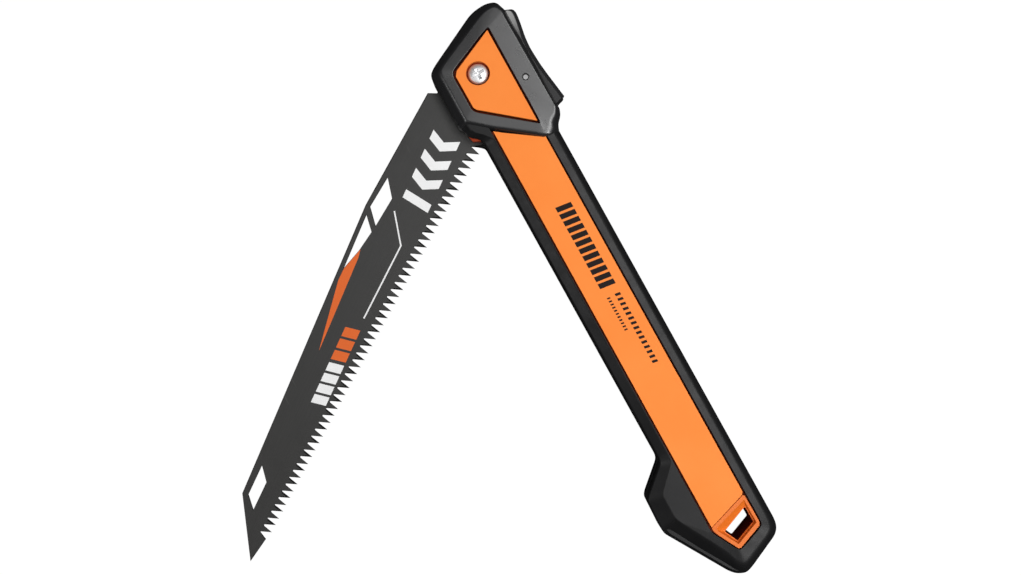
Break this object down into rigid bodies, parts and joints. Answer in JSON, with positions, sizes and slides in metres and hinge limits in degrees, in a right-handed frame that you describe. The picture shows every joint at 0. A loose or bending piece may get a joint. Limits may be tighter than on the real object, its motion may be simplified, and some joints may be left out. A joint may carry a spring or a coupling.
{
  "type": "folding pruning saw",
  "caption": "Folding pruning saw, half open: toothed steel blade on a pivot, two-part orange and black handle with a thumb lock lever and a lanyard slot.",
  "frame": {"origin": "on the blade pivot's axis, on the plane that the rear face rests on", "axes": "+X along the handle from the pivot to the butt, +Y to the spine and its thumb lever, +Z out of the front face"},
  "size_m": [0.2617, 0.213, 0.022],
  "materials": {
    "orange_plastic": "satin moulded orange plastic",
    "black_plastic": "fine-textured hard black plastic",
    "black_rubber": "fine-textured soft black rubber",
    "blade_steel": "dark coated saw steel with ground teeth and printed marks",
    "bright_steel": "zinc-plated steel",
    "bush_brass": "turned brass",
    "white_plastic": "natural white slippery plastic"
  },
  "bodies": {
    "handle": {"front_core": "orange_plastic", "rear_core": "orange_plastic", "front_shield": "black_plastic", "rear_shield": "black_plastic", "front_grip": "black_rubber", "rear_grip": "black_rubber", "pivot_screw": "bright_steel", "pivot_nut": "bright_steel", "pivot_bush": "bush_brass", "front_washer": "white_plastic", "rear_washer": "white_plastic", "spring_washer": "bright_steel", "lever_pin": "bright_steel", "lever_spring": "bright_steel", "stop_pin": "bright_steel", "case_screws": "bright_steel", "front_eyelet": "orange_plastic", "rear_eyelet": "orange_plastic"},
    "blade": {"blade": "blade_steel"},
    "lever": {"lock_lever": "black_plastic", "lock_tooth": "bright_steel"}
  },
  "joints": [
    {"name": "blade_fold", "type": "hinge", "parent": "handle", "child": "blade", "pos_m": [0, 0, 0.011], "axis": [0, 0, 1], "range_deg": [-126.35, 51.65]},
    {"name": "lever_press", "type": "hinge", "parent": "handle", "child": "lever", "pos_m": [0.011, 0.0168, 0.011], "axis": [0, 0, -1], "range_deg": [0, 6], "stiffness_Nm_per_rad": 0.1, "springref_deg": -17.19, "deforming": ["lever_spring"]}
  ]
}
